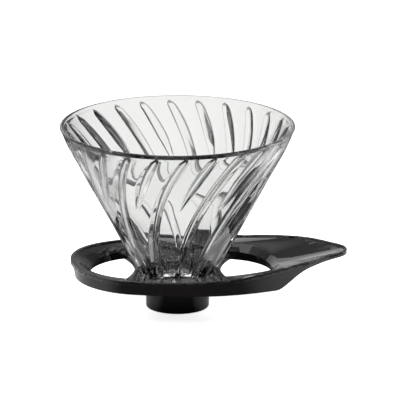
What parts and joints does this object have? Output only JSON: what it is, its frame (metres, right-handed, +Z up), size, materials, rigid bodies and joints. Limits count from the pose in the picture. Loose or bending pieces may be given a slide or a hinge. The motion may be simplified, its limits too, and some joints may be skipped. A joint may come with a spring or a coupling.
{
  "type": "pour over dripper",
  "caption": "Ribbed glass pour over cone in a black moulded ring base with a handle, held by a screw collar with a silicone packing ring.",
  "frame": {"origin": "on the cone's axis, in the plane of the collar's lower end, which the dripper stands on", "axes": "+Z up along the cone's axis, +X along the handle, -Y towards the front"},
  "size_m": [0.1418, 0.116, 0.0928],
  "materials": {
    "glass": "clear, heat resistant, pressed with spiral ribs",
    "black_plastic": "glossy black moulding",
    "collar_plastic": "glossy black moulding",
    "silicone": "matt translucent silicone"
  },
  "bodies": {
    "holder": {"base": "black_plastic"},
    "cone": {"glass_cone": "glass"},
    "packing": {"packing_ring": "silicone"},
    "collar": {"collar": "collar_plastic"}
  },
  "joints": [
    {"name": "glass_lift", "type": "slide", "parent": "holder", "child": "cone", "axis": [0, 0, 1], "range_m": [0, 0.06]},
    {"name": "collar_drop", "type": "slide", "parent": "holder", "child": "packing", "axis": [0, 0, -1], "range_m": [0, 0.0045]},
    {"name": "collar_turn", "type": "hinge", "parent": "packing", "child": "collar", "pos_m": [0, 0, 0.005], "axis": [0, 0, -1], "range_deg": [0, 540]}
  ],
  "couplings": [
    {"joint": "collar_drop", "follows": "collar_turn", "m_per_rad": 0.00047746}
  ]
}
